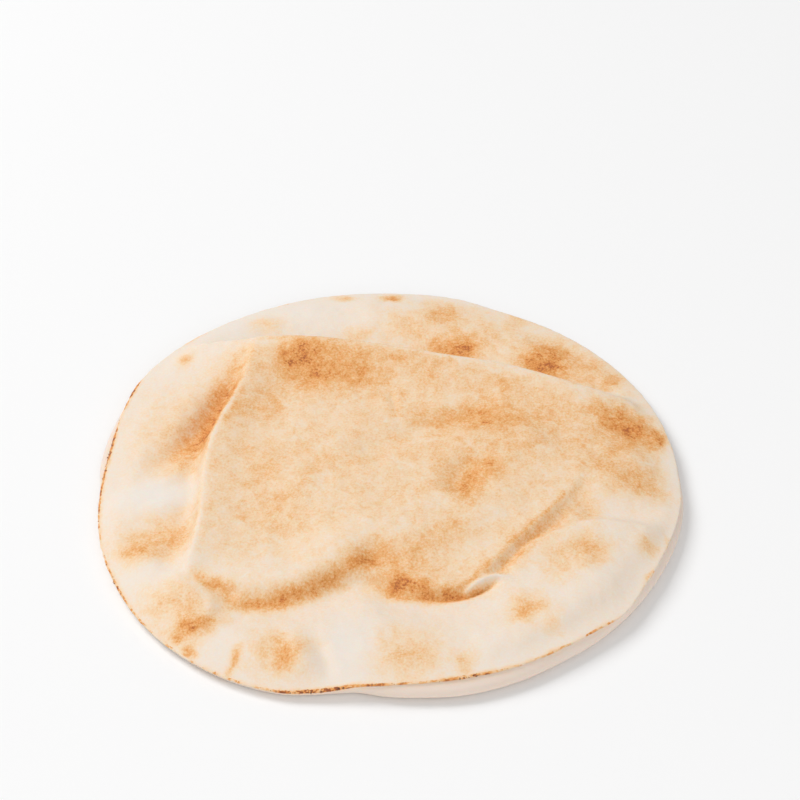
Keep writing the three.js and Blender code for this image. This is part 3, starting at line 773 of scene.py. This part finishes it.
# %% Shader group: papery skin
papery, papery_in, papery_out = new_group(
    "Papery skin",
    [("Float", "Strength", 0.4), ("Float", "Depth", 0.0004)],
    [("Vector", "Normal")],
)
place = papery.nodes.new("ShaderNodeTexCoord").outputs["Object"]
drawn_skin = grain(papery, place, 2.4, detail=4, roughness=0.55)
pores = wire(papery, papery.nodes.new("ShaderNodeTexVoronoi"), {"Vector": place, "Scale": 1 / (1.7 * MM)})
pore_edge = maths(papery, "MULTIPLY", maths(papery, "MINIMUM", pores.outputs["Distance"], 0.5), 0.5)
height = maths(papery, "ADD", drawn_skin, pore_edge)
bump = wire(papery, papery.nodes.new("ShaderNodeBump"), {
    "Strength": papery_in.outputs["Strength"], "Distance": papery_in.outputs["Depth"], "Height": height,
})
wire(papery, papery_out, {"Normal": bump.outputs["Normal"]})
print("papery skin group:", len(papery.nodes), "nodes")

# %% [markdown]
# ## Upper crust
# The upper crust reads the three numbers kept on the mesh. The scorch line lies
# over the toast: whichever is browner wins. Dry flour scatters light, so the
# surface is rough, a little less where it is toasted. A touch of light passing
# under the skin softens the folds, as in real dough.

# %% Upper crust material
def new_material(name):
    """An empty material with its shader. Returns both."""
    material = bpy.data.materials.new(name)
    material.use_nodes = True
    return material, material.node_tree.nodes["Principled BSDF"]


def use_group(tree, group, **values):
    """Places a shader group in a material. Spaces in socket names are written as underscores."""
    node = tree.nodes.new("ShaderNodeGroup")
    node.node_tree = group
    return wire(tree, node, {key.replace("_", " "): value for key, value in values.items()})


def kept(tree, name):
    """A number kept on the mesh's points."""
    node = tree.nodes.new("ShaderNodeAttribute")
    node.attribute_name = name
    return node.outputs["Fac"]


def crust_roughness(tree, level, floury, toasted):
    """Roughness between that of flour and that of toasted crust."""
    return maths(tree, "ADD", maths(tree, "MULTIPLY", level, toasted - floury), floury)


upper_crust, shader = new_material("upper_crust")
tree = upper_crust.node_tree
burnt = use_group(tree, seam_line, Gap=kept(tree, "gap"), Scorch=kept(tree, "scorch"))
# The kept level holds toast and also painted shade in creases and on slopes that face away from the light,
# and painted highlights on ridge tops.
colour = use_group(tree, baked, Toast=kept(tree, "toast_and_painted_light"), Speckle=1.3, Mottle=0.2,
                   Seam=burnt.outputs["Level"])
skin = use_group(tree, papery, Strength=0.35, Depth=0.0003)
wire(tree, shader, {
    "Base Color": colour.outputs["Colour"],
    "Roughness": crust_roughness(tree, colour.outputs["Toast level"], 0.88, 0.7),
    "Normal": skin.outputs["Normal"],
    "Subsurface Weight": 0.12,
    "Subsurface Scale": 0.002,
})
bread_mesh.materials.append(upper_crust)
print("upper crust:", len(tree.nodes), "nodes")

# %% [markdown]
# ## Lower crust
# The lower layer lay on hot stone. Its side is pale and floury, and its
# underside has many small toasted spots where it touched. Their places don't
# matter, so noise makes them: the level is pushed so that only its peaks show.

# %% Lower crust material
ROSY_DOUGH = (1.0, 0.94, 0.915)

lower_crust, shader = new_material("lower_crust")
tree = lower_crust.node_tree
place = tree.nodes.new("ShaderNodeTexCoord").outputs["Object"]
spots = maths(tree, "SUBTRACT", grain(tree, place, 17.0, detail=3), 0.48)
spots = maths(tree, "MULTIPLY", spots, 4.5, clamp=True)
height_here = tree.nodes.new("ShaderNodeSeparateXYZ")
wire(tree, height_here, {"Vector": place})
touching = maths(tree, "SUBTRACT", 1.0, maths(tree, "DIVIDE", height_here.outputs["Z"], 1.5 * MM), clamp=True)
spots = maths(tree, "MULTIPLY", spots, maths(tree, "MULTIPLY", touching, 0.62))
less_burnt = maths(tree, "MULTIPLY", kept(tree, "scorch"), 0.5)
burnt = use_group(tree, seam_line, Gap=kept(tree, "gap"), Scorch=less_burnt)
colour = use_group(tree, baked, Toast=maths(tree, "ADD", spots, 0.04), Speckle=0.5, Mottle=0.2,
                   Seam=burnt.outputs["Level"])
rosy = wire(tree, tree.nodes.new("ShaderNodeVectorMath"), {0: colour.outputs["Colour"], 1: ROSY_DOUGH})
rosy.operation = "MULTIPLY"
skin = use_group(tree, papery, Strength=0.4, Depth=0.0003)
wire(tree, shader, {
    "Base Color": rosy.outputs[0],
    "Roughness": crust_roughness(tree, colour.outputs["Toast level"], 0.9, 0.72),
    "Normal": skin.outputs["Normal"],
    "Subsurface Weight": 0.12,
    "Subsurface Scale": 0.002,
})
bread_mesh.materials.append(lower_crust)
LIP_ROWS = 2
upper_faces = len(top_faces) + 2 * AROUND * LIP_ROWS
material_of_face = np.ones(len(bread_faces), dtype=np.int32)
material_of_face[:upper_faces] = 0
bread_mesh.polygons.foreach_set("material_index", material_of_face)
print("lower crust:", len(tree.nodes), "nodes on", int(material_of_face.sum()), "faces")

# %% [markdown]
# ## Crags on the seam
# Where the seam burned it broke into dark crumbs and blisters, each well under
# a millimetre or two. There are hundreds, and they follow a path, so Geometry
# Nodes place them: the seam becomes points, a random draw with a fixed seed
# keeps more of them where the scorch is strong, and each gets a small lump of
# its own size and turn. Realize Instances makes them real faces.

# %% Path of the seam
CRAGS_OUT = 0.4  # share of the lip's reach
crags_radius = seam_radius + CRAGS_OUT * lip_out
seam_path = np.stack([
    crags_radius * np.cos(around) + to_solid[0],
    crags_radius * np.sin(around) + to_solid[1],
    seam_height - LIP_TOP_DROP,
], axis=1)
crag_mesh = bpy.data.meshes.new("seam_crags")
edges = [(i, (i + 1) % AROUND) for i in range(AROUND)]
crag_mesh.from_pydata((seam_path * MM).tolist(), edges, [])
store(crag_mesh, "scorch", scorch_round(around))
crag_base = bpy.data.objects.new("seam_crags", crag_mesh)
bpy.context.collection.objects.link(crag_base)
print("seam path:", len(seam_path), "points")

# %% Scorched crag material
scorched, shader = new_material("scorched_seam")
tree = scorched.node_tree
place = tree.nodes.new("ShaderNodeTexCoord").outputs["Object"]
burn = maths(tree, "MULTIPLY", grain(tree, place, 2.2, detail=3), kept(tree, "burn"))
ramp = tree.nodes.new("ShaderNodeValToRGB")
ramp.color_ramp.elements[0].color = linear(214, 150, 96)
ramp.color_ramp.elements[0].position = 0.15
ramp.color_ramp.elements[1].color = linear(96, 52, 32)
ramp.color_ramp.elements[1].position = 0.75
wire(tree, ramp, {"Fac": burn})
skin = use_group(tree, papery, Strength=0.6, Depth=0.0003)
wire(tree, shader, {
    "Base Color": ramp.outputs["Color"],
    "Roughness": maths(tree, "SUBTRACT", 0.9, maths(tree, "MULTIPLY", burn, 0.4)),
    "Normal": skin.outputs["Normal"],
})
print("scorched seam:", len(tree.nodes), "nodes")

# %% Geometry Nodes: crags along a path
crag_tree = bpy.data.node_groups.new("Crags along a path", "GeometryNodeTree")
crag_tree.interface.new_socket("Geometry", in_out="INPUT", socket_type="NodeSocketGeometry")
CRAG_INPUTS = {"Spacing": 0.0009, "Smallest": 0.0003, "Largest": 0.0008, "Roughness": 0.0002, "Seed": 11}
CRAG_SCARCITY = 2.6  # a higher power leaves fewer crags where the scorch is weak
CRAG_SCATTER = 0.0003
CRUMBLE_SCALE = 1600.0
for label, value in CRAG_INPUTS.items():
    kind = "NodeSocketInt" if label == "Seed" else "NodeSocketFloat"
    crag_tree.interface.new_socket(label, in_out="INPUT", socket_type=kind)
crag_tree.interface.new_socket("Geometry", in_out="OUTPUT", socket_type="NodeSocketGeometry")
crag_in, crag_out = crag_tree.nodes.new("NodeGroupInput"), crag_tree.nodes.new("NodeGroupOutput")


def add(kind, inputs=None, **settings):
    """Adds a node to the crag tree, with its settings made and its inputs filled."""
    node = crag_tree.nodes.new(kind)
    for key, value in settings.items():
        setattr(node, key, value)
    return wire(crag_tree, node, inputs or {})


def random_value(low, high, offset, data_type="FLOAT"):
    """A random value for each point. The offset keeps one draw from following another."""
    seed = add("ShaderNodeMath", {0: crag_in.outputs["Seed"], 1: float(offset)}, operation="ADD")
    node = add("FunctionNodeRandomValue", data_type=data_type)
    sockets = [s for s in node.inputs if s.enabled and s.name in ("Min", "Max")]
    for socket, value in zip(sockets, (low, high)):
        if isinstance(value, bpy.types.NodeSocket):
            crag_tree.links.new(value, socket)
        else:
            socket.default_value = value
    crag_tree.links.new(seed.outputs[0], node.inputs["Seed"])
    return next(s for s in node.outputs if s.enabled)


path = add("GeometryNodeMeshToCurve", {"Mesh": crag_in.outputs["Geometry"]})
spaced = add("GeometryNodeResampleCurve", {
    "Curve": path.outputs["Curve"], "Length": crag_in.outputs["Spacing"],
}, mode="LENGTH")
on_path = add("GeometryNodeCurveToPoints", {"Curve": spaced.outputs["Curve"]}, mode="EVALUATED")
scorch = add("GeometryNodeInputNamedAttribute", {"Name": "scorch"}, data_type="FLOAT").outputs["Attribute"]
draw = random_value(0.0, 1.0, 1)
unlucky = maths(crag_tree, "GREATER_THAN", draw, maths(crag_tree, "POWER", scorch, CRAG_SCARCITY))
chosen = add("GeometryNodeDeleteGeometry", {
    "Geometry": on_path.outputs["Points"], "Selection": unlucky,
}, domain="POINT")
burned = add("GeometryNodeStoreNamedAttribute", {
    "Geometry": chosen.outputs["Geometry"], "Name": "burn",
    "Value": maths(crag_tree, "MULTIPLY", random_value(0.5, 1.6, 2), scorch),
}, data_type="FLOAT", domain="POINT")
jitter = add("GeometryNodeSetPosition", {
    "Geometry": burned.outputs["Geometry"],
    "Offset": random_value(
        (-CRAG_SCATTER, -CRAG_SCATTER, -CRAG_SCATTER), (CRAG_SCATTER, CRAG_SCATTER, CRAG_SCATTER / 3),
        3, "FLOAT_VECTOR",
    ),
})
lump = add("GeometryNodeMeshUVSphere", {"Segments": 7, "Rings": 5, "Radius": 0.5})
size = maths(crag_tree, "MULTIPLY",
             random_value(crag_in.outputs["Smallest"], crag_in.outputs["Largest"], 4),
             maths(crag_tree, "ADD", scorch, 0.3))
squashed = add("ShaderNodeVectorMath", {
    0: random_value((0.7, 0.7, 0.4), (1.5, 1.2, 0.9), 5, "FLOAT_VECTOR"), "Scale": size,
}, operation="SCALE")
lumps = add("GeometryNodeInstanceOnPoints", {
    "Points": jitter.outputs["Geometry"], "Instance": lump.outputs["Mesh"],
    "Rotation": random_value((0, 0, 0), (0.5, 0.5, 6.283), 6, "FLOAT_VECTOR"), "Scale": squashed.outputs[0],
})
real = add("GeometryNodeRealizeInstances", {"Geometry": lumps.outputs["Instances"]})
crumble = add("ShaderNodeTexNoise", {"Scale": CRUMBLE_SCALE})
crumble_offset = add("ShaderNodeVectorMath", {
    0: crumble.outputs["Color"], 1: (-0.5, -0.5, -0.5),
}, operation="ADD")
crumble_size = add("ShaderNodeVectorMath", {
    0: crumble_offset.outputs[0], "Scale": crag_in.outputs["Roughness"],
}, operation="SCALE")
crumbled = add("GeometryNodeSetPosition", {
    "Geometry": real.outputs["Geometry"], "Offset": crumble_size.outputs[0],
})
finished = add("GeometryNodeSetMaterial", {"Geometry": crumbled.outputs["Geometry"], "Material": scorched})
crag_tree.links.new(finished.outputs["Geometry"], crag_out.inputs["Geometry"])
print("crag tree:", len(crag_tree.nodes), "nodes")

# %% The crags as a plain mesh
growth = crag_base.modifiers.new("crags", "NODES")
growth.node_group = crag_tree
for item in crag_tree.interface.items_tree:
    if item.in_out == "INPUT" and item.name in CRAG_INPUTS:
        growth[item.identifier] = CRAG_INPUTS[item.name]
evaluated = crag_base.evaluated_get(bpy.context.evaluated_depsgraph_get())
plain_mesh = bpy.data.meshes.new_from_object(evaluated)
crag_base.modifiers.clear()
bpy.data.objects.remove(crag_base)
crags = bpy.data.objects.new("seam_crags", plain_mesh)
bpy.context.collection.objects.link(crags)
print("the seam carries crags with", len(plain_mesh.polygons), "faces")

# %% Who stands for what
for piece in (bread, crags):
    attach(piece, "root")
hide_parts("flatbread")
print("bread and crags ride on the frame")

# %% [markdown]
# ## Camera
# The bread is seen from the front and from well above, as food on a table is.
# A long lens from under a metre away keeps the round outline calm.

# %% Camera
CAMERA_ELEVATION = math.radians(40.5)
CAMERA_DISTANCE = 0.9
LENS_MM = 90.8
AIM_PAST_MIDDLE = (3.5, 56.1)
AIM = Vector(((to_solid[0] + AIM_PAST_MIDDLE[0]) * MM, (to_solid[1] + AIM_PAST_MIDDLE[1]) * MM, 0.0))

camera_data = bpy.data.cameras.new("camera")
camera_data.lens = LENS_MM
camera_data.sensor_width = 36
camera = bpy.data.objects.new("camera", camera_data)
back = Vector((0, -math.cos(CAMERA_ELEVATION), math.sin(CAMERA_ELEVATION)))
camera.location = AIM + CAMERA_DISTANCE * back
camera.rotation_euler = (math.pi / 2 - CAMERA_ELEVATION, 0, 0)
bpy.context.collection.objects.link(camera)
bpy.context.scene.camera = camera
print("camera at", [round(v, 2) for v in camera.location])

# %% [markdown]
# ## Light and floor
# A large soft light high at the back left draws the folds with gentle shade,
# and a weaker one from the front right keeps the shade open. The floor is
# plain and pale, close to white.

# %% Lights and floor
LIGHTS = (  # name, place, width, power
    ("softbox", (-2.4, 1.4, 2.8), 2.0, 93.0),
    ("fill", (0.8, -2.2, 1.8), 2.6, 30.0),
)
for name, place, width, power in LIGHTS:
    light = bpy.data.lights.new(name, "AREA")
    light.size = width
    light.energy = power
    lamp = bpy.data.objects.new(name, light)
    lamp.location = place
    lamp.rotation_euler = (-Vector(place)).to_track_quat("-Z", "Y").to_euler()
    bpy.context.collection.objects.link(lamp)

world = bpy.data.worlds.new("studio")
bpy.context.scene.world = world
world.use_nodes = True
wire(world.node_tree, world.node_tree.nodes["Background"], {"Color": (1, 1, 1, 1), "Strength": 0.45})
bpy.context.scene.view_settings.view_transform = "Standard"

floor_mesh = bpy.data.meshes.new("floor")
reach = 4.0
corners = [(-reach, -reach, 0), (reach, -reach, 0), (reach, reach, 0), (-reach, reach, 0)]
floor_mesh.from_pydata(corners, [], [(0, 1, 2, 3)])
floor = bpy.data.objects.new("floor", floor_mesh)
bpy.context.collection.objects.link(floor)
paper, shader = new_material("floor_paper")
wire(paper.node_tree, shader, {"Base Color": (0.93, 0.93, 0.93, 1), "Roughness": 0.9})
floor_mesh.materials.append(paper)
print("lit by", len(LIGHTS), "soft lights")
